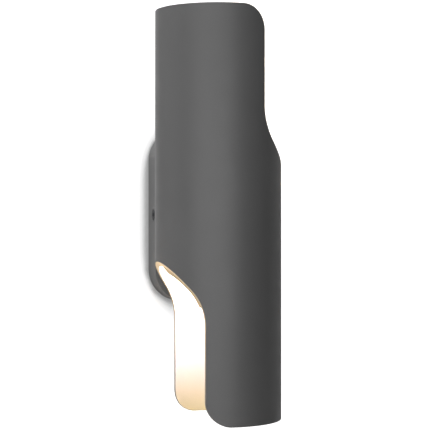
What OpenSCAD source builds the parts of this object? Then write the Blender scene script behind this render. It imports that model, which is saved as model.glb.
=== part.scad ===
// Outdoor up and down wall light: a round tube with an S-shaped cut at each
// end, held in front of a wall plate housing. Millimetres, +Z up.
// The wall is the plane Y = 0 and the light stands out towards -Y. The origin
// is on the wall, behind the middle of the tube.

/* [Tube] */
// Outside diameter of the tube
tube_d = 92; // [88:0.5:92]
// Length of the tube
tube_h = 297; // [280:1:320]
// Wall thickness of the tube
tube_wall = 3; // [2.5:0.1:3.1]

/* [S-cut] */
// How far the remaining tongue reaches past the tube's axis
cut_x = 21.8; // [18:0.1:26]
// Radius of the tongue's outer corner
cut_corner_r = 17.5; // [8:0.5:20]
// Radius of the bend between the upright and the slope
cut_bend_r = 40.5; // [16:0.5:44]
// Angle of the slope from the horizontal, in degrees
cut_slope = 51.3; // [48:0.1:56]
// Height above the middle at which the slope meets the tube's side
cut_tip_z = 33.3; // [33:0.1:42]

/* [Wall plate housing] */
// Width of the housing
canopy_w = 69; // [69:0.5:76]
// Height of the housing
canopy_h = 132; // [126:0.5:150]
// Corner radius of the housing
canopy_r = 24.5; // [20:0.5:26]
// Thickness of the housing's walls
canopy_wall = 2.5; // [2.2:0.1:2.5]

/* [Wall bracket] */
// Height of the bracket
bracket_h = 104; // [96:1:106]
// Thickness of the bracket's sheet
bracket_t = 1.5; // [1.2:0.1:1.5]
// Distance between the two wall slots
slot_spacing = 76; // [70:1:80]
// Width of a wall slot
slot_w = 5.2; // [4.5:0.1:5.5]
// Length of a wall slot, end to end
slot_len = 12; // [9:0.5:14]

/* [Light units] */
// Radius of the LED board
board_r = 30; // [28:0.5:30]
// LED packages on the outer ring
leds_outer = 12; // [6:2:12]
// LED packages on the inner ring
leds_inner = 6; // [4:1:6]
// How far from the middle the glare shield inside the front wall reaches
shield_z = 65; // [50:1:66]

/* [Screws] */
// Radius of the side screw's thread
side_thread_r = 2.45; // [2.4:0.01:2.49]
// Distance from the wall to the side screws
side_screw_out = 15; // [14.5:0.1:15.2]

/* [Hidden] */
$fn = 96;

tube_r = tube_d / 2;
bore_r = tube_r - tube_wall;
canopy_t = 22;                  // depth from the wall to the housing's front face
saddle_t = 1;                   // the saddle's thickness where the tube is nearest
ay = -canopy_t - saddle_t - tube_r; // the tube's axis, in Y
half_h = tube_h / 2;
bracket_w = 58;                 // over the flanges
seat_z = 24;                    // from the middle to each LED board's seat
core_r = bore_r - 0.2;
cup_r = core_r - 3.8;           // inside of the core's cups and glare shields
plate_t = 4;                    // thickness of the core's two cross plates
rim_y = -1;                     // the housing's back rim; a gasket fills the gap to the wall
front_y = -canopy_t;            // the housing's front face
inner_y = front_y + canopy_wall;
screw_z = 14;                   // the two body screws, above and below the middle
board_t = 1.6;
led_t = 0.7;
seal_z = 31;
cover_z = 31.8;
cover_t = 2.2;
ring_z = cover_z + cover_t;
boss_ring = 33;                 // the lid's screw bosses stand on this radius
lead_hole_y = 20;               // the hole that the LED leads pass through, from the axis
flange_x = bracket_w / 2;
tip_x = flange_x + 0.1;         // end of a side screw, just off the flange
head_x = canopy_w / 2;          // outer face of a side screw's head
head_t = 2.2;

grey = [0.36, 0.365, 0.37];
zinc = [0.78, 0.79, 0.80];
cast = [0.70, 0.71, 0.72];
white = [0.94, 0.94, 0.92];
black = [0.10, 0.10, 0.11];
brass = [0.80, 0.65, 0.30];

// ---- shared shapes ----

// A cylinder along Y, from y0 to y1
module ycyl(r, y0, y1, x = 0, z = 0)
  translate([x, y0, z]) rotate([-90, 0, 0]) cylinder(r = r, h = y1 - y0);

// A cylinder along X, from x0 to x1
module xcyl(r, x0, x1, y = 0, z = 0)
  translate([x0, y, z]) rotate([0, 90, 0]) cylinder(r = r, h = x1 - x0);

// A cylinder along Z, from z0 to z1
module zcyl(r, z0, z1, x = 0, y = 0)
  translate([x, y, z0]) cylinder(r = r, h = z1 - z0);

// A box from its two corners
module box(a, b) translate(a) cube(b - a);

// An upright slab with round corners, from y0 to y1
module slab(w, h, r, y0, y1) {
  box([-w / 2 + r, y0, -h / 2], [w / 2 - r, y1, h / 2]);
  box([-w / 2, y0, -h / 2 + r], [w / 2, y1, h / 2 - r]);
  for (sx = [-1, 1], sz = [-1, 1])
    ycyl(r, y0, y1, sx * (w / 2 - r), sz * (h / 2 - r));
}

// Everything made for the upper end also serves the lower end, turned half a
// turn about the line through the middle that stands out from the wall
module lower_end() rotate([0, 180, 0]) children();

// Points on an arc about c, from angle a0 to a1 in n steps
function arc(c, r, a0, a1, n) = [for (i = [0 : n])
  c + r * [cos(a0 + (a1 - a0) * i / n), sin(a0 + (a1 - a0) * i / n)]];

// What the S-cut takes away at the upper end, which opens towards +X: seen
// from the front, the upright with its rounded corner, the bend and the slope
module s_cut() {
  reach = tube_r + 15;
  corner_z = cut_tip_z + tan(cut_slope) * (tube_r - cut_x);
  bend_z = corner_z + cut_bend_r * (1 - sin(cut_slope)) / cos(cut_slope);
  translate([0, ay, 0]) rotate([90, 0, 0]) linear_extrude(height = 2 * reach, center = true)
    polygon(concat(
      [[cut_x - cut_corner_r, half_h + 10], [cut_x - cut_corner_r, half_h]],
      arc([cut_x - cut_corner_r, half_h - cut_corner_r], cut_corner_r, 85, 0, 17),
      arc([cut_x + cut_bend_r, bend_z], cut_bend_r, 180, 270 - cut_slope, 12),
      [[reach, cut_tip_z - tan(cut_slope) * (reach - tube_r)], [reach, half_h + 10]]));
}

// Points on a smooth curve through the points P, n to each stretch
function between(a, b, c, d, t) = 0.5 * (2 * b + (c - a) * t
  + (2 * a - 5 * b + 4 * c - d) * t * t + (3 * b - a - 3 * c + d) * t * t * t);
function curve(P, n) = [for (i = [0 : len(P) - 2]) for (j = [0 : n - 1])
    between(P[max(i - 1, 0)], P[i], P[i + 1], P[min(i + 2, len(P) - 1)], j / n),
  P[len(P) - 1]];

// A round lead of radius r along the points P; it never runs along X
module lead(P, r, n = 4, sides = 8) {
  C = curve(P, n);
  m = len(C);
  rings = [for (i = [0 : m - 1])
    let (t = C[min(i + 1, m - 1)] - C[max(i - 1, 0)],
         u = cross(t, [1, 0, 0]) / norm(cross(t, [1, 0, 0])),
         v = cross(t, u) / norm(cross(t, u)))
    for (k = [0 : sides - 1]) C[i] + r * (cos(k * 360 / sides) * u + sin(k * 360 / sides) * v)];
  polyhedron(points = rings, faces = concat(
    [[for (k = [0 : sides - 1]) k]],
    [[for (k = [sides - 1 : -1 : 0]) (m - 1) * sides + k]],
    [for (i = [0 : m - 2], k = [0 : sides - 1])
      let (a = i * sides + k, b = i * sides + (k + 1) % sides)
      [a, a + sides, b + sides, b]]));
}

// A screw with a round head on the side towards +Z and a hexagon socket
module socket_screw(r, len, head_r, head_h, af) difference() {
  union() {
    zcyl(r, -len, 0.01);
    zcyl(head_r, 0, head_h);
  }
  translate([0, 0, head_h * 0.4]) cylinder(r = af / 2 / cos(30), h = head_h, $fn = 6);
}

// A screw with a slotted pan head on the side towards +Z
module pan_screw(r, len, head_r, head_h) difference() {
  union() {
    zcyl(r, -len, 0.01);
    zcyl(head_r, 0, head_h);
  }
  box([-head_r - 1, -0.35, head_h * 0.5], [head_r + 1, 0.35, head_h + 1]);
}

// Turns a screw so that its head faces the room's wall, towards +Y
module head_to_wall(x, y, z) translate([x, y, z]) rotate([-90, 0, 0]) children();

// ---- wall side ----

// Folded steel plate: two upright slots for the wall screws, a hole for the
// cable, a tapped boss for the earth screw and a flange down each side
module wall_bracket() color(zinc) difference() {
  union() {
    slab(bracket_w, bracket_h, 4, -bracket_t, 0);
    for (s = [-1, 1])
      box([s > 0 ? flange_x - bracket_t : -flange_x, -19, -14],
          [s > 0 ? flange_x : -flange_x + bracket_t, -bracket_t / 2, 14]);
    ycyl(4, -6, -bracket_t / 2, 17, 26);
  }
  for (s = [-1, 1]) {
    box([-slot_w / 2, -5, s * slot_spacing / 2 - (slot_len - slot_w) / 2],
        [slot_w / 2, 5, s * slot_spacing / 2 + (slot_len - slot_w) / 2]);
    for (e = [-1, 1]) ycyl(slot_w / 2, -5, 5, 0, s * slot_spacing / 2 + e * (slot_len - slot_w) / 2);
  }
  ycyl(9, -5, 5);
  ycyl(2, -10, 5, 17, 26);
}

// Rubber grommet in the bracket's cable hole
module cable_grommet() color(black) difference() {
  union() {
    ycyl(8.95, -bracket_t - 0.01, -0.05);
    ycyl(11, -3.5, -bracket_t);
  }
  ycyl(4.25, -6, 2);
}

module bracket_earth_screw() color(brass)
  translate([17, -6.8, 26]) rotate([90, 0, 0]) pan_screw(1.95, 6.2, 3.8, 2.4);

module earth_washer() color(zinc) difference() {
  ycyl(4.3, -6.8, -6, 17, 26);
  ycyl(2.1, -8, -5, 17, 26);
}

// ---- wall plate housing ----

clamp_z = -22.5;
block_z = -40;
earth_at = [20, -20];

// Die-cast housing, open towards the wall
module canopy() color(grey) difference() {
  union() {
    difference() {
      slab(canopy_w, canopy_h, canopy_r, front_y, rim_y);
      slab(canopy_w - 2 * canopy_wall, canopy_h - 2 * canopy_wall, canopy_r - canopy_wall, inner_y, 1);
    }
    for (s = [-1, 1]) {
      // tapped bosses for the side screws
      xcyl(6.3, s > 0 ? 30.3 : -canopy_w / 2 + 1, s > 0 ? canopy_w / 2 - 1 : -30.3, -side_screw_out);
      ycyl(3.2, inner_y - 0.5, -17.5, s * 20, block_z);
      ycyl(3.2, inner_y - 0.5, -11.5, s * 11, clamp_z);
    }
    ycyl(4, inner_y - 0.5, -16.4, earth_at[0], earth_at[1]);
  }
  ycyl(6, front_y - 5, inner_y + 5);
  for (s = [-1, 1]) {
    ycyl(2.75, front_y - 5, inner_y + 5, 0, s * screw_z);
    xcyl(2.5, s > 0 ? 20 : -40, s > 0 ? 40 : -20, -side_screw_out);
    xcyl(4.3, s > 0 ? head_x - head_t : -40, s > 0 ? 40 : -head_x + head_t, -side_screw_out);
    ycyl(1.5, inner_y + 0.2, -10, s * 20, block_z);
    ycyl(1.5, inner_y + 0.2, -8, s * 11, clamp_z);
  }
  ycyl(2, inner_y + 0.2, -12, earth_at[0], earth_at[1]);
}

// Flat foam seal between the housing's rim and the wall
module rim_gasket() color(black) difference() {
  slab(canopy_w - 0.8, canopy_h - 0.8, canopy_r - 0.4, rim_y, 0);
  slab(canopy_w - 4.6, canopy_h - 4.6, canopy_r - 2.3, -3, 2);
}

// Rubber saddle that fills the gap between the flat housing and the round tube
module saddle_gasket() color(black) difference() {
  box([-13, front_y - 2.9, -38], [13, front_y, 38]);
  translate([0, ay, 0]) zcyl(tube_r + 0.05, -60, 60, $fn = 360);
  ycyl(6, front_y - 8, front_y + 2);
  for (s = [-1, 1]) ycyl(2.75, front_y - 8, front_y + 2, 0, s * screw_z);
}

// Rubber bush that carries the leads through housing, saddle and tube
module wire_grommet() color(black) difference() {
  union() {
    ycyl(5.9, ay + core_r + 0.1, inner_y + 0.01);
    ycyl(8.4, inner_y, inner_y + 1.8);
  }
  ycyl(3.2, -40, -5);
}

// ---- tube and core ----

module tube() color(grey) difference() {
  translate([0, ay, 0]) difference() {
    zcyl(tube_r, -half_h, half_h);
    zcyl(bore_r, -half_h - 1, half_h + 1);
  }
  s_cut();
  lower_end() s_cut();
  ycyl(6, ay + 30, ay + 50);
  for (s = [-1, 1]) ycyl(2.75, ay + 30, ay + 50, 0, s * screw_z);
}

// A glare shield: the front half of the core's wall, carried on past the
// cover and cut off along the same slope as the tube
module glare_shield() difference() {
  translate([0, ay, 0]) difference() {
    zcyl(core_r, 35, shield_z);
    zcyl(cup_r, 30, shield_z + 5);
    box([-60, -4, 30], [60, 60, shield_z + 5]);
  }
  s_cut();
}

// Die-cast core: a drum with a cup at each end. The lower cross plate is part
// of it; the upper one is the lid
module core_body() color(cast) difference() {
  union() {
    translate([0, ay, 0]) {
      difference() {
        zcyl(core_r, -36, 36);
        zcyl(cup_r, -37, 37);
      }
      zcyl(cup_r + 0.5, -seat_z, -seat_z + plate_t);
      for (a = [30, 150, 270]) rotate(a) difference() {
        union() {
          zcyl(4, -seat_z + plate_t - 0.5, seat_z - plate_t, boss_ring);
          box([boss_ring, -2, -seat_z + plate_t - 0.5], [cup_r + 0.8, 2, seat_z - plate_t]);
        }
        zcyl(1.5, 6, 40, boss_ring);
      }
      for (s = [-1, 1])
        box([-6, 29, s > 0 ? 8 : -20.5], [6, cup_r + 1, s > 0 ? seat_z - plate_t : -8]);
    }
    glare_shield();
    lower_end() glare_shield();
  }
  ycyl(6, ay + 20, ay + 50);
  for (s = [-1, 1]) ycyl(2.5, ay + 27, ay + 50, 0, s * screw_z);
  translate([0, ay, 0]) {
    zcyl(3, -40, 0, 0, lead_hole_y);
    lower_end() for (a = [60, 180, 300]) rotate(a) zcyl(1.5, 20.5, 40, 26);
    for (s = [-1, 1]) zcyl(1.5, -seat_z + 1, 0, s * 25, -9);
  }
}

// Upper cross plate
module core_lid() color(cast) translate([0, ay, 0]) difference() {
  zcyl(cup_r - 0.2, seat_z - plate_t, seat_z);
  zcyl(3, 10, 40, 0, lead_hole_y);
  for (a = [60, 180, 300]) rotate(a) zcyl(1.5, 20.5, 40, 26);
  for (a = [30, 150, 270]) rotate(a) {
    zcyl(1.7, 10, 40, boss_ring);
    zcyl(2.9, seat_z - 2, 40, boss_ring);
  }
}

module lid_screws() color(zinc) translate([0, ay, 0]) for (a = [30, 150, 270])
  rotate(a) translate([boss_ring, 0, seat_z - 2]) socket_screw(1.45, 12, 2.75, 1.8, 2);

// Potted driver with a fixing tab at each end
module led_driver() color(black) translate([0, ay, 0]) difference() {
  union() {
    box([-22, -15, -20], [22, 15, 2]);
    for (s = [-1, 1]) box([s > 0 ? 21.5 : -29, -13, -20], [s > 0 ? 29 : -21.5, -5, -18]);
  }
  for (s = [-1, 1]) zcyl(1.7, -30, 0, s * 25, -9);
}

module driver_screws() color(zinc) translate([0, ay, 0]) for (s = [-1, 1])
  translate([s * 25, -9, -18]) pan_screw(1.45, 4.6, 2.75, 1.9);

// ---- light units ----

module led_board() color(white) translate([0, ay, 0]) difference() {
  zcyl(board_r, seat_z, seat_z + board_t);
  zcyl(2.5, 20, 40, 0, lead_hole_y);
  for (a = [60, 180, 300]) rotate(a) zcyl(1.7, 20, 40, 26);
}

// LED packages on two rings
module leds() color([0.95, 0.85, 0.35]) translate([0, ay, 0]) {
  for (i = [0 : leds_outer - 1]) rotate(15 + i * 360 / leds_outer)
    box([16.6, -1.75, seat_z + board_t], [19.4, 1.75, seat_z + board_t + led_t]);
  for (i = [0 : leds_inner - 1]) rotate(i * 360 / leds_inner)
    box([7.6, -1.75, seat_z + board_t], [10.4, 1.75, seat_z + board_t + led_t]);
}

module board_screw_set() translate([0, ay, 0]) for (a = [60, 180, 300])
  rotate(a) translate([26, 0, seat_z + board_t]) pan_screw(1.45, 4.6, 2.75, 1.6);

// White ring with a sloping inside, on the seat round the board
module reflector() color(white) translate([0, ay, 0]) rotate_extrude()
  polygon([[board_r + 0.4, seat_z + 0.02], [cup_r - 0.5, seat_z + 0.02],
    [cup_r - 0.5, seal_z], [cup_r - 2.4, seal_z]]);

module seal() color([0.85, 0.86, 0.86]) translate([0, ay, 0]) rotate_extrude()
  polygon([[cup_r - 2.3, seal_z], [cup_r - 0.6, seal_z],
    [cup_r - 0.6, cover_z], [cup_r - 2.3, cover_z]]);

// Opal cover
module cover() color([0.97, 0.95, 0.90]) translate([0, ay, 0]) zcyl(cup_r - 0.6, cover_z, ring_z);

// Split ring that holds the cover in the cup
module retaining_ring() color(zinc) translate([0, ay, 0]) difference() {
  zcyl(cup_r - 0.1, ring_z, ring_z + 1.4);
  zcyl(cup_r - 3.2, ring_z - 1, ring_z + 3);
  box([-3, -40, ring_z - 1], [3, -30, ring_z + 3]);
}

module upper_led_board() led_board();
module lower_led_board() lower_end() led_board();
module upper_leds() leds();
module lower_leds() lower_end() leds();
module board_screws() color(zinc) { board_screw_set(); lower_end() board_screw_set(); }
module upper_reflector() reflector();
module lower_reflector() lower_end() reflector();
module upper_seal() seal();
module lower_seal() lower_end() seal();
module upper_cover() cover();
module lower_cover() lower_end() cover();
module upper_retaining_ring() retaining_ring();
module lower_retaining_ring() lower_end() retaining_ring();

// ---- screws through the housing ----

module body_screws() color(zinc) for (s = [-1, 1])
  head_to_wall(0, inner_y, s * screw_z) socket_screw(2.45, 18, 4.5, 2.7, 3);

// The right side screw: head in its counterbore, end just off the flange
module side_screw() color([0.30, 0.30, 0.31]) difference() {
  union() {
    xcyl(side_thread_r, tip_x, head_x - head_t + 0.01, -side_screw_out);
    xcyl(4, head_x - head_t, head_x, -side_screw_out);
  }
  translate([head_x - 1.7, -side_screw_out, 0]) rotate([0, 90, 0]) cylinder(r = 1.5 / cos(30), h = 5, $fn = 6);
}
module side_screw_right() side_screw();
module side_screw_left() mirror([1, 0, 0]) side_screw();

// ---- wiring inside the housing ----

way_x = [-10, 0, 10];           // the three ways of the terminal block

module terminal_block() color(white) difference() {
  union() {
    box([-24, -17.5, block_z - 8], [24, -14.5, block_z + 8]);
    box([-16, -15, block_z - 8], [16, -5.5, block_z + 8]);
  }
  for (x = way_x) {
    zcyl(2.9, block_z - 9, block_z + 9, x, -10);
    for (s = [-1, 1]) ycyl(2.1, -9, -4, x, block_z + s * 4);
  }
  for (s = [-1, 1]) ycyl(1.7, -20, -10, s * 20, block_z);
}

// Brass barrels in the block
module terminal_clamps() color(brass) for (x = way_x) difference() {
  zcyl(2.8, block_z - 7, block_z + 7, x, -10);
  zcyl(1.6, block_z - 8, block_z + 8, x, -10);
  for (s = [-1, 1]) ycyl(1.55, -9.5, -5, x, block_z + s * 4);
}

module terminal_screws() color(brass) for (x = way_x, s = [-1, 1])
  head_to_wall(x, -7, block_z + s * 4) pan_screw(1.5, 2.4, 1.95, 1.2);

module terminal_block_screws() color(zinc) for (s = [-1, 1])
  head_to_wall(s * 20, -14.5, block_z) pan_screw(1.45, 4.2, 2.75, 1.9);

// Bar that holds the supply cable down
module cord_clamp() color(white) difference() {
  box([-15, -11.5, clamp_z - 3.5], [15, -8, clamp_z + 3.5]);
  zcyl(4, clamp_z - 5, clamp_z + 5, 0, -13.6);
  for (s = [-1, 1]) ycyl(1.7, -15, -5, s * 11, clamp_z);
}

module cord_clamp_screws() color(zinc) for (s = [-1, 1])
  head_to_wall(s * 11, -8, clamp_z) pan_screw(1.45, 9, 2.75, 1.9);

module live_lead() color([0.42, 0.22, 0.10]) lead([[-10, -10, -34], [-10, -10, -31],
  [-8.6, -13.2, -28.4], [-5.9, -15.8, -25], [-5.9, -15.8, -19.5], [-3.6, -14.6, -13],
  [-1.4, -14.4, -6], [-1.4, -16, -1.4], [-1.4, -19.5, 0], [-1.4, -27, 0], [-1.8, -34, -0.5],
  [-5, -44, -4], [-8, -50, -5], [-8, -52.9, -5]], 1);

module neutral_lead() color([0.12, 0.30, 0.70]) lead([[0, -10, -34], [0, -10, -31],
  [2, -13, -28.6], [5.9, -15.8, -25], [5.9, -15.8, -19.5], [3.6, -14.6, -13],
  [1.4, -14.4, -6], [1.4, -16, -1.4], [1.4, -19.5, 0], [1.4, -27, 0], [1.8, -34, -0.5],
  [5, -44, -4], [8, -50, -5], [8, -52.9, -5]], 1);

module earth_lead() color([0.45, 0.65, 0.10]) lead([[10, -10, -34], [10, -10, -31],
  [12.5, -11.8, -28.9], [16.5, -14, -28], [19.4, -15.4, -27], [20, -15.7, -25.2]], 1);

// Ring tag under the housing's earth screw
module earth_tag() color(brass) difference() {
  union() {
    ycyl(3.8, -16.4, -15.6, earth_at[0], earth_at[1]);
    box([earth_at[0] - 1.4, -16.4, earth_at[1] - 5.1], [earth_at[0] + 1.4, -15.6, earth_at[1]]);
  }
  ycyl(2.1, -18, -14, earth_at[0], earth_at[1]);
}

module canopy_earth_screw() color(brass)
  head_to_wall(earth_at[0], -15.6, earth_at[1]) pan_screw(1.95, 3.4, 3.6, 2.2);

// Pairs of leads from the driver to each board
module upper_led_leads() color([0.75, 0.10, 0.08]) translate([0, ay, 0]) for (s = [-1, 1])
  lead([[s * 1.6, 9.5, 2.05], [s * 1.6, 9.5, 4], [s * 1.6, 10, 6.4], [s * 1.4, 13, 11],
    [s * 1.3, 17.6, 15.5], [s * 1.2, lead_hole_y, 20], [s * 1.2, lead_hole_y, 25.6]], 0.8);

module lower_led_leads() color([0.75, 0.10, 0.08]) translate([0, ay, 0]) for (s = [-1, 1])
  lead([[s * 1.6, 15.05, -10], [s * 1.6, 16.4, -10], [s * 1.5, 18, -10.9],
    [s * 1.2, 19.6, -14.5], [s * 1.2, lead_hole_y, -19], [s * 1.2, lead_hole_y, -25.6]], 0.8);

wall_bracket();
cable_grommet();
bracket_earth_screw();
earth_washer();
canopy();
rim_gasket();
saddle_gasket();
tube();
body_screws();
wire_grommet();
core_body();
core_lid();
lid_screws();
led_driver();
driver_screws();
lower_led_board();
upper_led_board();
lower_leds();
upper_leds();
board_screws();
lower_reflector();
upper_reflector();
lower_seal();
upper_seal();
lower_cover();
upper_cover();
lower_retaining_ring();
upper_retaining_ring();
terminal_block();
terminal_clamps();
terminal_screws();
terminal_block_screws();
cord_clamp();
cord_clamp_screws();
live_lead();
neutral_lead();
earth_lead();
earth_tag();
canopy_earth_screw();
upper_led_leads();
lower_led_leads();
side_screw_left();
side_screw_right();
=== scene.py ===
# Looks of the outdoor up and down wall light: finishes, fine edges, light,
# stage and camera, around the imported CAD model. Metres, +Z up, the wall is
# the plane Y = 0 and the light stands out towards -Y.
import math

import bmesh
import bpy
import numpy as np
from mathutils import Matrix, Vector
from mathutils.geometry import delaunay_2d_cdt


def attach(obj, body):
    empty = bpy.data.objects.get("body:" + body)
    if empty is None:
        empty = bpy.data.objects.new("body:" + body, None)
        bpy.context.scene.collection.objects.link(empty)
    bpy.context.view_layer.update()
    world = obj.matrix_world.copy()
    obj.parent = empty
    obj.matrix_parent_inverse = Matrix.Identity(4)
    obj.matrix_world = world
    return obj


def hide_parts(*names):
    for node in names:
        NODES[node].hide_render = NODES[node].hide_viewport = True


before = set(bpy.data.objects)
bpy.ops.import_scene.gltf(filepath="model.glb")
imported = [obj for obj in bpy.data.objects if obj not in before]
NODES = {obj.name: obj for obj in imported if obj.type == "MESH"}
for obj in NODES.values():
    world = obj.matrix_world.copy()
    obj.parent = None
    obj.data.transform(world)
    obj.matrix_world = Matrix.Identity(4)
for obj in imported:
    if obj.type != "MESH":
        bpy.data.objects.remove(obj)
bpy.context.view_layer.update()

SCENE = bpy.context.scene
COLL = SCENE.collection

# ---------------------------------------------------------------- materials


class Mat:
    """A node material round one Principled shader."""

    def __init__(self, name):
        self.mat = bpy.data.materials.new(name)
        self.mat.use_nodes = True
        self.nt = self.mat.node_tree
        self.nt.nodes.clear()
        self.out = self.add("ShaderNodeOutputMaterial")
        self.p = self.add("ShaderNodeBsdfPrincipled")
        self.nt.links.new(self.p.outputs[0], self.out.inputs["Surface"])
        self.place = self.add("ShaderNodeTexCoord").outputs["Object"]

    def add(self, kind, **inputs):
        n = self.nt.nodes.new(kind)
        for k, v in inputs.items():
            n.inputs[k.replace("_", " ")].default_value = v
        return n

    def link(self, a, b):
        self.nt.links.new(a, b)

    def set(self, **inputs):
        for k, v in inputs.items():
            self.p.inputs[k.replace("_", " ")].default_value = v

    def noise(self, scale, detail=2.0, rough=0.5, at=None, stretch=None):
        """A noise pattern with that many cells per metre, from 0 to 1."""
        n = self.add("ShaderNodeTexNoise", Scale=scale, Detail=detail, Roughness=rough)
        at = at or self.place
        if stretch:
            m = self.add("ShaderNodeMapping")
            m.inputs["Scale"].default_value = stretch
            self.link(at, m.inputs["Vector"])
            at = m.outputs[0]
        self.link(at, n.inputs["Vector"])
        return n.outputs["Fac"]

    def spread(self, value, low, high, a=0.3, b=0.7):
        """Maps value from a..b to low..high."""
        n = self.add("ShaderNodeMapRange")
        n.inputs["From Min"].default_value = a
        n.inputs["From Max"].default_value = b
        n.inputs["To Min"].default_value = low
        n.inputs["To Max"].default_value = high
        self.link(value, n.inputs["Value"])
        return n.outputs["Result"]

    def times(self, a, b):
        n = self.add("ShaderNodeMath")
        n.operation = "MULTIPLY"
        for v, s in ((a, n.inputs[0]), (b, n.inputs[1])):
            if isinstance(v, (int, float)):
                s.default_value = v
            else:
                self.link(v, s)
        return n.outputs[0]

    def plus(self, a, b):
        out = self.times(a, b)
        out.node.operation = "ADD"
        return out

    def mix(self, f, a, b):
        """Colour a where f is 0, colour b where f is 1."""
        n = self.add("ShaderNodeMix")
        n.data_type = "RGBA"
        self.link(f, n.inputs["Factor"]) if not isinstance(f, (int, float)) else None
        for v, s in ((a, n.inputs[6]), (b, n.inputs[7])):
            if isinstance(v, tuple):
                s.default_value = (*v, 1.0)
            else:
                self.link(v, s)
        return n.outputs[2]

    def colour(self, rgb, shades):
        """Base colour rgb, lightened and darkened by the shades: (pattern, low, high)."""
        f = None
        for pattern, low, high in shades:
            s = self.spread(pattern, low, high)
            f = s if f is None else self.times(f, s)
        n = self.add("ShaderNodeVectorMath")
        n.operation = "SCALE"
        n.inputs[0].default_value = rgb
        self.link(f, n.inputs["Scale"])
        self.link(n.outputs[0], self.p.inputs["Base Color"])

    def rough(self, pattern, low, high):
        self.link(self.spread(pattern, low, high), self.p.inputs["Roughness"])

    def bump(self, *layers):
        """Bumps from (pattern, height in metres, strength), finest first."""
        prev = None
        for pattern, height, strength in layers:
            b = self.add("ShaderNodeBump", Strength=strength, Distance=height)
            self.link(pattern, b.inputs["Height"])
            if prev:
                self.link(prev, b.inputs["Normal"])
            prev = b.outputs[0]
        self.link(prev, self.p.inputs["Normal"])


MATS = {}


def powder_coat(name, rgb, rough, peel=0.05):
    """Baked powder coat: fine orange peel, slight clouding, faint pigment grain."""
    m = Mat(name)
    cloud, grain = m.noise(26, 3), m.noise(1500, 2)
    m.colour(rgb, [(cloud, 0.975, 1.025), (grain, 0.97, 1.03)])
    m.rough(m.noise(70, 3), rough - 0.035, rough + 0.035)
    m.bump((m.noise(2600, 1.5), 0.00006, peel), (m.noise(800, 2), 0.00012, peel))
    m.set(Specular_IOR_Level=0.5)
    MATS[name] = m.mat
    return m


powder_coat("body_grey", (0.115, 0.115, 0.1155), 0.46, 0.10)
# The housing has the tube's paint; its lighter grey is painted light, standing in for light its shaded sides lack.
powder_coat("housing_grey_painted_light", (0.158, 0.158, 0.1585), 0.46, 0.10)


def white_inside_painted_tint():
    """The white coat inside the tube. Its tint goes from cool near the covers to warm at the ends:
    painted light, standing in for the LEDs' light that turns warmer as it falls off, to match the photograph, where
    the lit inside goes from white to tan."""
    m = powder_coat("white_coat", (0.42, 0.416, 0.405), 0.5, 0.08)
    split = m.add("ShaderNodeSeparateXYZ")
    m.link(m.place, split.inputs[0])
    far = m.times(split.outputs["Z"], 1.0)
    far.node.operation = "ABSOLUTE"
    plain = m.p.inputs["Base Color"].links[0].from_socket
    # painted light: the coat's colour goes from cool to warm along the tube, in place of the LEDs' warm fall-off
    painted_light_tint = m.add("ShaderNodeMix")
    painted_light_tint.data_type = "RGBA"
    painted_light_tint.blend_type = "MIX"
    m.link(m.spread(far, 0.0, 1.0, 0.112, 0.148), painted_light_tint.inputs[0])
    painted_light_tint.inputs[6].default_value = (0.98, 1.0, 1.27, 1.0)
    painted_light_tint.inputs[7].default_value = (1.06, 0.99, 0.70, 1.0)
    both = m.add("ShaderNodeMix")
    both.data_type = "RGBA"
    both.blend_type = "MULTIPLY"
    both.inputs[0].default_value = 1.0
    m.link(plain, both.inputs[6])
    m.link(painted_light_tint.outputs[2], both.inputs[7])
    m.link(both.outputs[2], m.p.inputs["Base Color"])


white_inside_painted_tint()


def rim_painted_glow():
    """The grey coat on the cut's rims, with a painted warm glow, an emission that stands in for the LEDs' light on the
    rims, set against the photograph, less and less towards the ends.
    """
    m = powder_coat("rim_grey_painted_glow", (0.115, 0.115, 0.1155), 0.42, 0.10)
    split = m.add("ShaderNodeSeparateXYZ")
    m.link(m.place, split.inputs[0])
    far = m.times(split.outputs["Z"], 1.0)
    far.node.operation = "ABSOLUTE"
    # painted light: an emission in place of the LEDs' light on the rims, fading with height and a little weaker
    # towards the wall
    glow = m.plus(m.spread(far, 0.52, 0.0, 0.034, 0.150), m.spread(far, 0.25, 0.0, 0.034, 0.050))
    front = m.spread(split.outputs["Y"], 1.0, 0.85, -0.074, -0.062)
    lit = m.times(glow, 1.0)
    m.link(front, lit.node.inputs[1])
    m.link(lit, m.p.inputs["Emission Strength"])
    m.set(Emission_Color=(1.0, 0.71, 0.38, 1.0))


rim_painted_glow()


def cast_metal_painted_warmth():
    m = Mat("cast_aluminium")
    # the golden tone is partly painted warm light, standing in for the LEDs' warm light on the core's inner band, on
    # top of the real LED light
    m.colour((0.70, 0.53, 0.30), [(m.noise(45, 4), 0.9, 1.06), (m.noise(900, 3), 0.93, 1.05)])
    m.rough(m.noise(240, 3), 0.38, 0.58)
    m.bump((m.noise(1300, 3), 0.0001, 0.22), (m.noise(260, 2), 0.0002, 0.12))
    m.set(Metallic=0.35)
    MATS["cast_aluminium"] = m.mat


def coated_board():
    """White solder mask on an aluminium board."""
    m = Mat("white_coated")
    m.colour((0.86, 0.86, 0.83), [(m.noise(120, 3), 0.97, 1.02), (m.noise(1800, 2), 0.97, 1.02)])
    m.rough(m.noise(300, 2), 0.30, 0.42)
    m.bump((m.noise(2400, 1), 0.00004, 0.06))
    MATS["white_coated"] = m.mat


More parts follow.
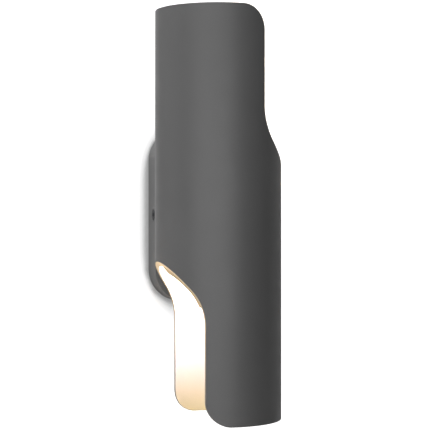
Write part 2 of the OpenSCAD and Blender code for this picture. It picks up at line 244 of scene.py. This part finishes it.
def plated_steel():
    """Bright zinc with a faint blue and yellow passivation."""
    m = Mat("zinc_steel")
    tint = m.mix(m.spread(m.noise(60, 2), 0.0, 1.0), (0.63, 0.65, 0.68), (0.69, 0.67, 0.60))
    spangle = m.spread(m.noise(420, 2), 0.95, 1.04)
    n = m.add("ShaderNodeVectorMath")
    n.operation = "SCALE"
    m.link(tint, n.inputs[0])
    m.link(spangle, n.inputs["Scale"])
    m.link(n.outputs[0], m.p.inputs["Base Color"])
    m.rough(m.noise(260, 3), 0.36, 0.50)
    m.bump((m.noise(900, 2), 0.00004, 0.05))
    m.set(Metallic=0.85)
    MATS["zinc_steel"] = m.mat


def brushed(name, rgb, low, high, stretch):
    m = Mat(name)
    lines = m.noise(500, 3, 0.6, stretch=stretch)
    m.colour(rgb, [(lines, 0.92, 1.05), (m.noise(50, 2), 0.97, 1.03)])
    m.rough(lines, low, high)
    m.bump((lines, 0.00004, 0.12))
    m.set(Metallic=1.0)
    MATS[name] = m.mat


def blackened_steel():
    m = Mat("dark_steel")
    m.colour((0.060, 0.060, 0.064), [(m.noise(900, 3), 0.85, 1.2), (m.noise(200, 2), 0.92, 1.1)])
    m.rough(m.noise(700, 2), 0.34, 0.5)
    m.bump((m.noise(1800, 2), 0.00004, 0.15))
    m.set(Metallic=0.6)
    MATS["dark_steel"] = m.mat


def polymer(name, rgb, low, high, bumpy, scatter=0.0):
    m = Mat(name)
    m.colour(rgb, [(m.noise(90, 2), 0.97, 1.03), (m.noise(1600, 2), 0.96, 1.03)])
    m.rough(m.noise(350, 2), low, high)
    m.bump((m.noise(1700, 2), 0.00006, bumpy))
    if scatter:
        m.set(Subsurface_Weight=scatter, Subsurface_Scale=0.0012)
    MATS[name] = m.mat
    return m


def glowing(name, rgb, light, strength):
    """Opal polycarbonate in front of lit LEDs."""
    m = polymer(name, rgb, 0.32, 0.44, 0.05)
    m.set(Emission_Color=(*light, 1.0), Emission_Strength=strength)
    return m


def lead(name, rgb):
    m = Mat(name)
    m.colour(rgb, [(m.noise(300, 2), 0.94, 1.05), (m.noise(2200, 1), 0.97, 1.03)])
    m.rough(m.noise(500, 2), 0.34, 0.46)
    m.bump((m.noise(1200, 2), 0.00005, 0.10))
    MATS[name] = m.mat
    return m


def striped_lead():
    """Green lead with a yellow stripe along it."""
    m = Mat("lead_green_yellow")
    stripe = m.noise(260, 0, 0.5, stretch=(1.0, 1.0, 0.25))
    edge = m.spread(stripe, 0.0, 1.0, 0.49, 0.51)
    m.link(m.mix(edge, (0.05, 0.30, 0.03), (0.78, 0.62, 0.02)), m.p.inputs["Base Color"])
    m.rough(m.noise(500, 2), 0.34, 0.46)
    m.bump((m.noise(1200, 2), 0.00005, 0.10))
    MATS["lead_green_yellow"] = m.mat


cast_metal_painted_warmth()
coated_board()
plated_steel()
brushed("stainless", (0.60, 0.60, 0.59), 0.22, 0.40, (1.0, 1.0, 0.08))
brushed("brass", (0.80, 0.60, 0.27), 0.24, 0.36, (1.0, 0.1, 1.0))
blackened_steel()
polymer("black_rubber", (0.022, 0.022, 0.024), 0.66, 0.82, 0.25)
polymer("grey_silicone", (0.60, 0.61, 0.61), 0.42, 0.56, 0.10, 0.3)
polymer("white_plastic", (0.84, 0.84, 0.81), 0.36, 0.48, 0.10, 0.15)
polymer("black_plastic", (0.030, 0.030, 0.032), 0.34, 0.50, 0.20)
LED_LIGHT, LED_STRENGTH = (1.0, 0.80, 0.57), 31.0
glowing("opal", (0.90, 0.89, 0.85), LED_LIGHT, LED_STRENGTH)
polymer("led_phosphor", (0.90, 0.72, 0.16), 0.30, 0.42, 0.08, 0.1)
lead("lead_brown", (0.13, 0.05, 0.022))
lead("lead_blue", (0.02, 0.09, 0.38))
lead("lead_red", (0.48, 0.02, 0.015))
striped_lead()

# ------------------------------------------------------------- mesh building


def new_piece(name, me, body, slot, *replaced):
    ob = bpy.data.objects.new(name, me)
    COLL.objects.link(ob)
    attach(ob, body)
    if replaced:
        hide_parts(*replaced)
    return ob


# The tube: a cylinder along Z about (0, AXIS_Y), cut at each end by a surface
# whose profile in X and Z is the S. The lower end is the upper one turned
# half a turn about Y.
AXIS_Y = -0.069
R_OUT, R_IN = 0.046, 0.043
HALF = 0.1485
CUT_X, CORNER_R, BEND_R = 0.0218, 0.0175, 0.0405
SLOPE, TIP_Z = math.radians(51.3), 0.0333
FLAT_X = CUT_X - CORNER_R
CORNER_Z = HALF - CORNER_R
SLOPE_Z = TIP_Z + math.tan(SLOPE) * (R_OUT - CUT_X)
BEND_Z = SLOPE_Z + BEND_R * (1 - math.sin(SLOPE)) / math.cos(SLOPE)
BEND_END = CUT_X + BEND_R - BEND_R * math.sin(SLOPE)
SOFT = 0.00045  # width of the rounding on each side of a cut edge


def beyond(x):
    """Height and outward normal of the S where it has left the upright, at x."""
    if x <= BEND_END:
        c = (CUT_X + BEND_R - x) / BEND_R
        c = min(1.0, max(-1.0, c))
        s = math.sqrt(1 - c * c)
        return BEND_Z - BEND_R * s, (c, s)
    return TIP_Z + math.tan(SLOPE) * (R_OUT - x), (math.sin(SLOPE), math.cos(SLOPE))


def rim_rows():
    """The upper rim as rows across the wall: functions of t, 0 outside and 1 inside, giving (point, rim normal), points about the tube's axis."""
    rows = []
    turn_o = math.asin(FLAT_X / R_OUT)
    turn_i = math.asin(FLAT_X / R_IN)

    def flat(ao, ai):
        def f(t):
            x = (1 - t) * R_OUT * math.sin(ao) + t * R_IN * math.sin(ai)
            y = -(1 - t) * R_OUT * math.cos(ao) - t * R_IN * math.cos(ai)
            return Vector((x, y, HALF)), Vector((0, 0, 1))
        return f

    def across(x, z, n, side):
        def f(t):
            yo, yi = math.sqrt(R_OUT ** 2 - x * x), math.sqrt(R_IN ** 2 - x * x)
            return Vector((x, side * ((1 - t) * yo + t * yi), z)), Vector((n[0], 0, n[1]))
        return f

    k = (R_IN - CUT_X) / (R_OUT - CUT_X)

    def slope(xo, side):
        def f(t):
            xi = CUT_X + (xo - CUT_X) * k
            yo = math.sqrt(max(0.0, R_OUT ** 2 - xo * xo))
            yi = math.sqrt(max(0.0, R_IN ** 2 - xi * xi))
            x = (1 - t) * xo + t * xi
            z, n = beyond(x)
            return Vector((x, side * ((1 - t) * yo + t * yi), z)), Vector((n[0], 0, n[1]))
        return f

    def one_side(side):
        got = []
        for i in range(1, 25):
            a = math.radians(90 * (1 - i / 24))
            got.append(across(FLAT_X + CORNER_R * math.cos(a), CORNER_Z + CORNER_R * math.sin(a),
                              (math.cos(a), math.sin(a)), side))
        n = 22
        for i in range(1, n + 1):
            got.append(across(CUT_X, CORNER_Z + (BEND_Z - CORNER_Z) * i / n, (1.0, 0.0), side))
        for i in range(1, 15):
            a = (math.pi / 2 - SLOPE) * i / 14
            got.append(slope(CUT_X + BEND_R * (1 - math.cos(a)), side))
        a0 = math.asin(BEND_END / R_OUT)
        n = 30
        for i in range(1, n):
            got.append(slope(R_OUT * math.sin(a0 + (math.pi / 2 - a0) * i / n), side))
        return got

    n = 3
    rows += [flat(turn_o * i / n, turn_i * i / n) for i in range(0, n + 1)]
    rows += one_side(-1)
    rows.append(slope(R_OUT, -1))
    rows += one_side(1)[::-1]
    n = 104
    span_o, span_i = math.pi + turn_o, math.pi + turn_i
    rows += [flat(math.pi - turn_o + span_o * i / n, math.pi - turn_i + span_i * i / n) for i in range(0, n)]
    return rows


def angles(points):
    """Angles about the axis of a closed row of points that starts in front and goes round once, unwrapped."""
    a = np.arctan2([p.x for p in points], [-p.y for p in points])
    a[0] = 0.0
    return np.unwrap(a)


def set_back(points, radius, by):
    """The row of points moved into the wall's surface by that much."""
    u = angles(points) * radius
    z = np.array([p.z for p in points])
    full = 2 * math.pi * radius
    du = np.append(u[1:], full) - np.insert(u[:-1], 0, u[-1] - full)
    dz = np.roll(z, -1) - np.roll(z, 1)
    size = np.hypot(du, dz)
    u2, z2 = u + by * dz / size, z - by * du / size
    u2[0] = 0.0
    return u2 / radius, z2


def build_tube():
    rows = rim_rows()
    n = len(rows)
    verts, norms = [], []

    def put(p, normal):
        verts.append(p)
        norms.append(normal.normalized())
        return len(verts) - 1

    def on_wall(radius, a, z, inward):
        d = Vector((math.sin(a), -math.cos(a), 0))
        return put(Vector((radius * d.x, radius * d.y, z)), -d if inward else d)

    faces, looks = [], []

    def turned(p):
        return Vector((-p.x, p.y, -p.z))

    loops = {}
    for lower in (False, True):
        flip = turned if lower else (lambda p: p)
        outer = [f(0.0)[0] for f in rows]
        inner = [f(1.0)[0] for f in rows]
        ao, zo = set_back(outer, R_OUT, SOFT)
        ai, zi = set_back(inner, R_IN, SOFT)
        grid = []
        for i, f in enumerate(rows):
            width = max((outer[i] - inner[i]).length, 1e-6)
            s = SOFT / width
            d_out = Vector((math.sin(ao[i]), -math.cos(ao[i]), 0))
            d_in = Vector((math.sin(ai[i]), -math.cos(ai[i]), 0))
            w_out = Vector((R_OUT * d_out.x, R_OUT * d_out.y, zo[i]))
            w_in = Vector((R_IN * d_in.x, R_IN * d_in.y, zi[i]))
            r_out, n_out = f(s)
            r_in, n_in = f(1 - s)
            line = []

            def rounding(a, corner, b, na, nb):
                for t in (1 / 3, 2 / 3):
                    p = a * (1 - t) ** 2 + corner * (2 * t * (1 - t)) + b * t * t
                    line.append(put(flip(p), flip(na * (1 - t) + nb * t)))

            line.append(put(flip(w_out), flip(d_out)))
            rounding(w_out, outer[i], r_out, d_out, n_out)
            line.append(put(flip(r_out), flip(n_out)))
            for t in (1 / 3, 2 / 3):
                p, nn = f(s + (1 - 2 * s) * t)
                line.append(put(flip(p), flip(nn)))
            line.append(put(flip(r_in), flip(n_in)))
            rounding(r_in, inner[i], w_in, n_in, -d_in)
            line.append(put(flip(w_in), flip(-d_in)))
            grid.append(line)
        for i in range(n):
            a, b = grid[i], grid[(i + 1) % n]
            for k in range(len(a) - 1):
                faces.append((a[k], b[k], b[k + 1], a[k + 1]))
                looks.append(0 if k < 3 else 2 if k < len(a) - 3 else 1)
        sign = -1 if lower else 1
        loops[lower] = {
            "out": ([g[0] for g in grid], sign * ao, sign * zo),
            "in": ([g[-1] for g in grid], sign * ai, sign * zi),
        }

    # the holes for the leads and the two body screws, in the back
    holes = []
    for r, z0, steps in ((0.006, 0.0, 40), (0.00275, 0.014, 28), (0.00275, -0.014, 28)):
        ring = {}
        for key, radius in (("out", R_OUT), ("in", R_IN)):
            ids, us, zs = [], [], []
            for i in range(steps):
                t = 2 * math.pi * i / steps
                x, z = r * math.cos(t), z0 + r * math.sin(t)
                a = math.pi - math.asin(x / radius)
                ids.append(on_wall(radius, a, z, key == "in"))
                us.append(a)
                zs.append(z)
            ring[key] = (ids, us, zs)
        holes.append((ring, steps))

    for key, radius in (("out", R_OUT), ("in", R_IN)):
        pts, ids = [], []

        def add(a, z, vid):
            pts.append((a * radius, z))
            ids.append(vid)
            return len(pts) - 1

        turn = 2 * math.pi
        ids_u, a_u, z_u = loops[False][key]
        ids_l, a_l, z_l = loops[True][key]
        # the lower row runs the other way round, so it is turned to rise from 0 to 360 degrees
        order = [0] + list(range(n - 1, 0, -1))
        low = [(a_l[i] % turn if i else 0.0, z_l[i], ids_l[i]) for i in order]
        top = [(a_u[i], z_u[i], ids_u[i]) for i in range(n)]
        low_ids = [add(*p) for p in low] + [add(turn, low[0][1], low[0][2])]
        top_ids = [add(*p) for p in top] + [add(turn, top[0][1], top[0][2])]
        seam_z = np.linspace(low[0][1], top[0][1], 76)[1:-1]
        left, right = [], []
        for z in seam_z:
            vid = on_wall(radius, 0.0, float(z), key == "in")
            left.append(add(0.0, float(z), vid))
            right.append(add(turn, float(z), vid))
        border = low_ids + right + top_ids[::-1] + left[::-1]
        edges = [(border[i], border[(i + 1) % len(border)]) for i in range(len(border))]
        rings = []
        for ring, steps in holes:
            vid, us, zs = ring[key]
            r_ids = [add(us[i], zs[i], vid[i]) for i in range(steps)]
            rings.append(r_ids)
            edges += [(r_ids[i], r_ids[(i + 1) % steps]) for i in range(steps)]
        fixed = np.array(pts)
        # every border edge, sampled, keeps the inner points at a distance
        guard = []
        for i, j in edges:
            a, b = fixed[i], fixed[j]
            m = max(1, int(np.hypot(*(b - a)) / 0.0008))
            guard += [a + (b - a) * s / m for s in range(m)]
        guard = np.array(guard)
        poly = fixed[border]

        def inside(q):
            x, y = q[:, 0][:, None], q[:, 1][:, None]
            x1, y1 = poly[:, 0], poly[:, 1]
            x2, y2 = np.roll(x1, -1), np.roll(y1, -1)
            with np.errstate(divide="ignore", invalid="ignore"):
                hit = ((y1 > y) != (y2 > y)) & (x < (x2 - x1) * (y - y1) / (y2 - y1) + x1)
            return hit.sum(1) % 2 == 1

        cols = 112
        du = turn * radius / cols
        cand = []
        for c in range(1, cols):
            for k in range(-44, 45):
                cand.append((c * du, (k + 0.5 * (c % 2)) * 0.0034))
        cand = np.array(cand)
        cand = cand[inside(cand)]
        near = np.array([np.min(np.hypot(*(guard - q).T)) for q in cand])
        for u, z in cand[near > 0.0013]:
            add(u / radius, z, on_wall(radius, u / radius, z, key == "in"))
        out_v, _, out_f, orig_v, _, _ = delaunay_2d_cdt(
            [Vector(p) for p in pts], edges, [], 1, 1e-7, True)
        back = [o[0] if o else None for o in orig_v]
        cen = np.array([[sum(out_v[i][k] for i in f) / 3 for k in (0, 1)] for f in out_f])
        good = inside(cen)
        for (ring, steps), r0 in zip(holes, (0.006, 0.00275, 0.00275)):
            hu, hz = fixed[rings[holes.index((ring, steps))]].mean(0)
            good &= np.hypot(cen[:, 0] - hu, cen[:, 1] - hz) > r0 * 0.999
        for f, g in zip(out_f, good):
            if not g:
                continue
            tri = [ids[back[i]] for i in f]
            if len(set(tri)) == 3:
                faces.append(tuple(tri))
                looks.append(0 if key == "out" else 1)

    hole_faces = set()
    for ring, steps in holes:
        a, b = ring["out"][0], ring["in"][0]
        for i in range(steps):
            hole_faces.add(len(faces))
            faces.append((a[i], a[(i + 1) % steps], b[(i + 1) % steps], b[i]))
            looks.append(0)

    co = np.array([v[:] for v in verts])
    nn = np.array([v[:] for v in norms])
    fixed_faces = []
    flat_normals = {}
    for i, f in enumerate(faces):
        p = co[list(f)]
        fn = np.cross(p[1] - p[0], p[2] - p[0])
        if len(f) == 4:
            fn = fn + np.cross(p[2] - p[0], p[3] - p[0])
        if i in hole_faces:
            # a hole's wall looks towards the hole's own axis
            mid = p.mean(0)
            zs = 0.014 if mid[2] > 0.0085 else (-0.014 if mid[2] < -0.0085 else 0.0)
            want = np.array([-mid[0], 0.0, zs - mid[2]])
        else:
            want = nn[list(f)].mean(0)
        if fn @ want < 0:
            f = f[::-1]
            fn = -fn
        fixed_faces.append(tuple(f))
        if i in hole_faces:
            flat_normals[i] = Vector(fn / np.linalg.norm(fn))
    shift = Vector((0, AXIS_Y, 0))
    me = bpy.data.meshes.new("tube_shell")
    me.from_pydata([v + shift for v in verts], [], fixed_faces)
    me.polygons.foreach_set("material_index", looks)
    me.polygons.foreach_set("use_smooth", [True] * len(fixed_faces))
    me.update()
    per_corner = [None] * len(me.loops)
    for poly in me.polygons:
        for li in poly.loop_indices:
            per_corner[li] = flat_normals.get(poly.index) or norms[me.loops[li].vertex_index]
    me.normals_split_custom_set(per_corner)
    me.materials.append(MATS["body_grey"])
    me.materials.append(MATS["white_coat"])
    me.materials.append(MATS["rim_grey_painted_glow"])
    return new_piece("tube_shell", me, "lamp", "body_grey", "tube")


def true_flats(me, limit=8.0, least=4e-6):
    """Gives the large flat faces, and the roundings that run into them, the flat's own normal."""
    normals = [c.vector.copy() for c in me.corner_normals]
    at = {}
    for p in me.polygons:
        for k, v in zip(p.loop_indices, p.vertices):
            at.setdefault(v, []).append((k, p.index))
    for p in me.polygons:
        if p.area < least:
            continue
        own = p.normal.copy()
        if min(own.dot(normals[k]) for k in p.loop_indices) > math.cos(math.radians(limit)):
            continue
        for v in p.vertices:
            for k, other in at[v]:
                if me.polygons[other].normal.dot(own) > 0.7:
                    normals[k] = own
    me.normals_split_custom_set(normals)


def refined(node, name, body, slot, width, segments=2, angle=32.0):
    """The CAD node's own shape with its edges rounded by that width, as a new piece."""
    me = NODES[node].data.copy()
    me.name = name
    bm = bmesh.new()
    bm.from_mesh(me)
    bmesh.ops.remove_doubles(bm, verts=bm.verts, dist=2e-6)
    bmesh.ops.dissolve_limit(bm, angle_limit=math.radians(0.4), verts=bm.verts, edges=bm.edges,
                             use_dissolve_boundaries=False)
    bm.to_mesh(me)
    bm.free()
    me.materials.clear()
    me.materials.append(MATS[slot])
    ob = new_piece(name, me, body, slot, node)
    for poly in me.polygons:
        poly.use_smooth = True
    b = ob.modifiers.new("edges", "BEVEL")
    b.width = width
    b.segments = segments
    b.limit_method = "ANGLE"
    b.angle_limit = math.radians(angle)
    b.harden_normals = True
    b.use_clamp_overlap = True
    b.miter_outer = "MITER_SHARP"
    bpy.context.view_layer.update()
    done = bpy.data.meshes.new_from_object(ob.evaluated_get(bpy.context.evaluated_depsgraph_get()))
    done.name = name
    ob.modifiers.clear()
    ob.data = done
    true_flats(done)
    return ob


# ------------------------------------------------------------------- pieces

for node, ob in NODES.items():
    for s in ob.material_slots:
        key = s.material.name.split(".")[0] if s.material else "body_grey"
        s.material = MATS.get(key, MATS["body_grey"])

tube = build_tube()
canopy = refined("canopy", "canopy_housing", "lamp", "body_grey", 0.0009, 3)
# painted light: the housing gets the lighter copy of the tube's grey
canopy.data.materials[0] = MATS["housing_grey_painted_light"]
FINE_EDGES = [
    ("side_screw_left", "side_screw_left_head", "side_screw_left", "dark_steel", 0.00028, 3),
    ("side_screw_right", "side_screw_right_head", "side_screw_right", "dark_steel", 0.00028, 3),
    ("wall_bracket", "bracket_plate", "bracket", "zinc_steel", 0.00025, 2),
    ("cable_grommet", "grommet", "bracket", "black_rubber", 0.00035, 3),
    ("rim_gasket", "rim_seal", "lamp", "black_rubber", 0.00020, 2),
    ("lower_cover", "lower_opal", "lamp", "opal", 0.00040, 3),
    ("upper_cover", "upper_opal", "lamp", "opal", 0.00040, 3),
    ("lower_retaining_ring", "lower_ring", "lamp", "stainless", 0.00020, 2),
    ("upper_retaining_ring", "upper_ring", "lamp", "stainless", 0.00020, 2),
]
for row in FINE_EDGES:
    refined(*row)

# -------------------------------------------------------------------- stage


def wall_material():
    """White wall that only its front shows, with a soft contact shadow painted into its glow and paint from ambient
    occlusion, a little stronger below the housing.
    """
    mat = bpy.data.materials.new("wall_white")
    mat.use_nodes = True
    nt = mat.node_tree
    nt.nodes.clear()
    new, link = nt.nodes.new, nt.links.new
    out = new("ShaderNodeOutputMaterial")
    def openness(reach):
        ao = new("ShaderNodeAmbientOcclusion")
        ao.samples = 24
        ao.inputs["Distance"].default_value = reach
        return ao.outputs["AO"]

    def ramp(value, a, b, low, high):
        n = new("ShaderNodeMapRange")
        for k, v in (("From Min", a), ("From Max", b), ("To Min", low), ("To Max", high)):
            n.inputs[k].default_value = v
        link(value, n.inputs["Value"])
        return n.outputs["Result"]

    def calc(kind, a, b):
        n = new("ShaderNodeMath")
        n.operation = kind
        for v, i in ((a, n.inputs[0]), (b, n.inputs[1])):
            if isinstance(v, (int, float)):
                i.default_value = v
            else:
                link(v, i)
        return n.outputs[0]

    geo = new("ShaderNodeNewGeometry")
    split = new("ShaderNodeSeparateXYZ")
    link(geo.outputs["Position"], split.inputs[0])
    # painted shade: the shadow is made stronger by height, from the housing's lower part downwards
    painted_shade_below = ramp(split.outputs["Z"], -0.070, -0.036, 0.09, 0.0)
    close = calc("SUBTRACT", openness(0.024), painted_shade_below)
    close = calc("POWER", ramp(close, 0.570, 0.850, 0.0, 1.0), 0.40)
    close = calc("ADD", 0.30, calc("MULTIPLY", close, 0.70))
    near = calc("MULTIPLY", close, ramp(openness(0.045), 0.30, 0.68, 0.72, 1.0))
    path = new("ShaderNodeLightPath")
    seen = new("ShaderNodeMapRange")
    seen.inputs["To Min"].default_value = 0.10
    seen.inputs["To Max"].default_value = 1.03
    link(path.outputs["Is Camera Ray"], seen.inputs["Value"])
    power = new("ShaderNodeMath")
    power.operation = "MULTIPLY"
    link(near, power.inputs[0])
    link(seen.outputs["Result"], power.inputs[1])
    glow = new("ShaderNodeEmission")
    link(power.outputs[0], glow.inputs["Strength"])
    paint = new("ShaderNodeBsdfDiffuse")
    shade = new("ShaderNodeVectorMath")
    shade.operation = "SCALE"
    shade.inputs[0].default_value = (0.62, 0.62, 0.62)
    link(near, shade.inputs["Scale"])
    link(shade.outputs[0], paint.inputs["Color"])
    both = new("ShaderNodeAddShader")
    link(glow.outputs[0], both.inputs[0])
    link(paint.outputs[0], both.inputs[1])
    clear = new("ShaderNodeBsdfTransparent")
    away = new("ShaderNodeMath")
    away.operation = "MAXIMUM"
    link(geo.outputs["Backfacing"], away.inputs[0])
    link(path.outputs["Is Shadow Ray"], away.inputs[1])
    pick = new("ShaderNodeMixShader")
    link(away.outputs[0], pick.inputs[0])
    link(both.outputs[0], pick.inputs[1])
    link(clear.outputs[0], pick.inputs[2])
    link(pick.outputs[0], out.inputs["Surface"])
    return mat


def floor_material():
    m = Mat("floor_pale")
    m.colour((0.80, 0.79, 0.77), [(m.noise(1.3, 3), 0.98, 1.02), (m.noise(60, 2), 0.985, 1.015)])
    m.rough(m.noise(8, 2), 0.5, 0.62)
    m.bump((m.noise(220, 2), 0.0004, 0.1))
    seen = m.spread(m.add("ShaderNodeLightPath").outputs["Is Camera Ray"], 0.0, 0.72, 0.0, 1.0)
    m.link(seen, m.p.inputs["Emission Strength"])
    m.set(Emission_Color=(1.0, 0.99, 0.97, 1.0))
    return m.mat


def plane(name, corners, mat):
    me = bpy.data.meshes.new(name)
    me.from_pydata(corners, [], [(0, 1, 2, 3)])
    me.materials.append(mat)
    ob = bpy.data.objects.new(name, me)
    COLL.objects.link(ob)
    return ob


WALL_Y = 0.0004
plane("wall", [(-1.6, WALL_Y, -1.2), (1.6, WALL_Y, -1.2), (1.6, WALL_Y, 1.4), (-1.6, WALL_Y, 1.4)],
      wall_material())
plane("floor", [(-5, -5, -1.2), (5, -5, -1.2), (5, 5, -1.2), (-5, 5, -1.2)], floor_material())

world = bpy.data.worlds.new("studio")
SCENE.world = world
world.use_nodes = True
nt = world.node_tree
nt.nodes.clear()
w_out = nt.nodes.new("ShaderNodeOutputWorld")
w_bg = nt.nodes.new("ShaderNodeBackground")
w_path = nt.nodes.new("ShaderNodeLightPath")
w_map = nt.nodes.new("ShaderNodeMapRange")
w_map.inputs["To Min"].default_value = 0.03
w_map.inputs["To Max"].default_value = 1.18
nt.links.new(w_path.outputs["Is Camera Ray"], w_map.inputs["Value"])
nt.links.new(w_map.outputs["Result"], w_bg.inputs["Strength"])
nt.links.new(w_bg.outputs[0], w_out.inputs["Surface"])


def softbox(name, azimuth, elevation, distance, size, power, colour=(1, 1, 1), aim=(0, -0.06, 0)):
    """A rectangular light aimed at the lamp, azimuth as in the camera's: 0 in front, 90 at +X."""
    a, e = math.radians(azimuth), math.radians(elevation)
    data = bpy.data.lights.new(name, "AREA")
    data.shape = "RECTANGLE"
    data.size, data.size_y = size
    data.energy = power
    data.color = colour
    ob = bpy.data.objects.new(name, data)
    COLL.objects.link(ob)
    d = Vector((math.sin(a) * math.cos(e), -math.cos(a) * math.cos(e), math.sin(e)))
    ob.location = Vector(aim) + d * distance
    ob.rotation_mode = "QUATERNION"
    ob.rotation_quaternion = d.to_track_quat("Z", "Y")
    ob.visible_camera = False
    return ob


LIGHTS = [
    ("left_high", -60, 45, 1.6, (0.55, 0.55), 6.0),
    ("left_front_high", -40, 45, 1.6, (0.55, 0.55), 4.8),
    ("far_left", -105, 0, 1.6, (0.55, 0.55), 0.7),
    ("left", -60, 0, 1.6, (0.55, 0.55), 1.6),
    ("left_front", -40, 0, 1.6, (0.55, 0.55), 3.2),
    ("camera_side", -20, 0, 1.6, (0.55, 0.55), 3.2),
    ("front", 0, 0, 1.6, (0.55, 0.55), 3.7),
    ("behind", 180, 12, 1.6, (0.55, 0.55), 12.0),
]
for light in LIGHTS:
    softbox(*light)

# ------------------------------------------------------------------- camera

AZ = math.radians(17.65)
ahead = Vector((math.sin(AZ), math.cos(AZ), 0))
right = Vector((math.cos(AZ), -math.sin(AZ), 0))
cam_data = bpy.data.cameras.new("camera")
cam_data.lens = 116.09
cam_data.sensor_width = 36.0
cam = bpy.data.objects.new("camera", cam_data)
COLL.objects.link(cam)
cam.location = Vector((0, AXIS_Y, 0)) - ahead * 1.0123 - right * 0.00229
cam.rotation_mode = "QUATERNION"
cam.rotation_quaternion = (-ahead).to_track_quat("Z", "Y")
SCENE.camera = cam

SCENE.view_settings.view_transform = "Standard"
SCENE.view_settings.look = "None"
